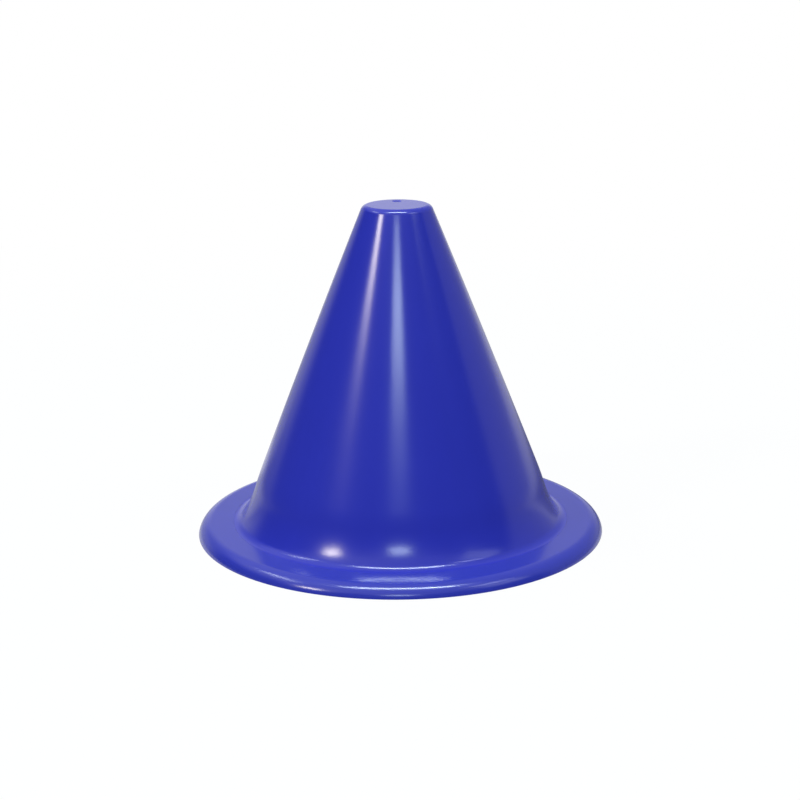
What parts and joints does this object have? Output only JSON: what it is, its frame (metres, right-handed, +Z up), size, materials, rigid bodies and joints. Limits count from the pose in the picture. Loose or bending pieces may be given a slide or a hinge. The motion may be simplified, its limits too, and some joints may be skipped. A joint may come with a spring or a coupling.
{
  "type": "marker cone",
  "caption": "Hollow marker cone with a closed flat top and a round brim whose rim turns down to the ground, held on by a ring snapped in underneath.",
  "frame": {"origin": "middle of the ground under the cone, at the height of the rim's lower edge", "axes": "+Z up along the cone's axis; the part is round but for the ribs and a small moulding mark on the top, which lies toward +Y; -Y faces the picture's camera"},
  "size_m": [0.22, 0.22, 0.178],
  "materials": {
    "cone_blue": "smooth glossy moulded polyethylene, saturated ultramarine blue",
    "brim_blue": "smooth glossy moulded polyethylene, the same blue as the cone",
    "ring_grey": "plain satin moulded plastic, hidden under the brim"
  },
  "bodies": {
    "root": {"cone_body": "cone_blue", "base_ring": "brim_blue", "lock_ring": "ring_grey"}
  },
  "joints": []
}
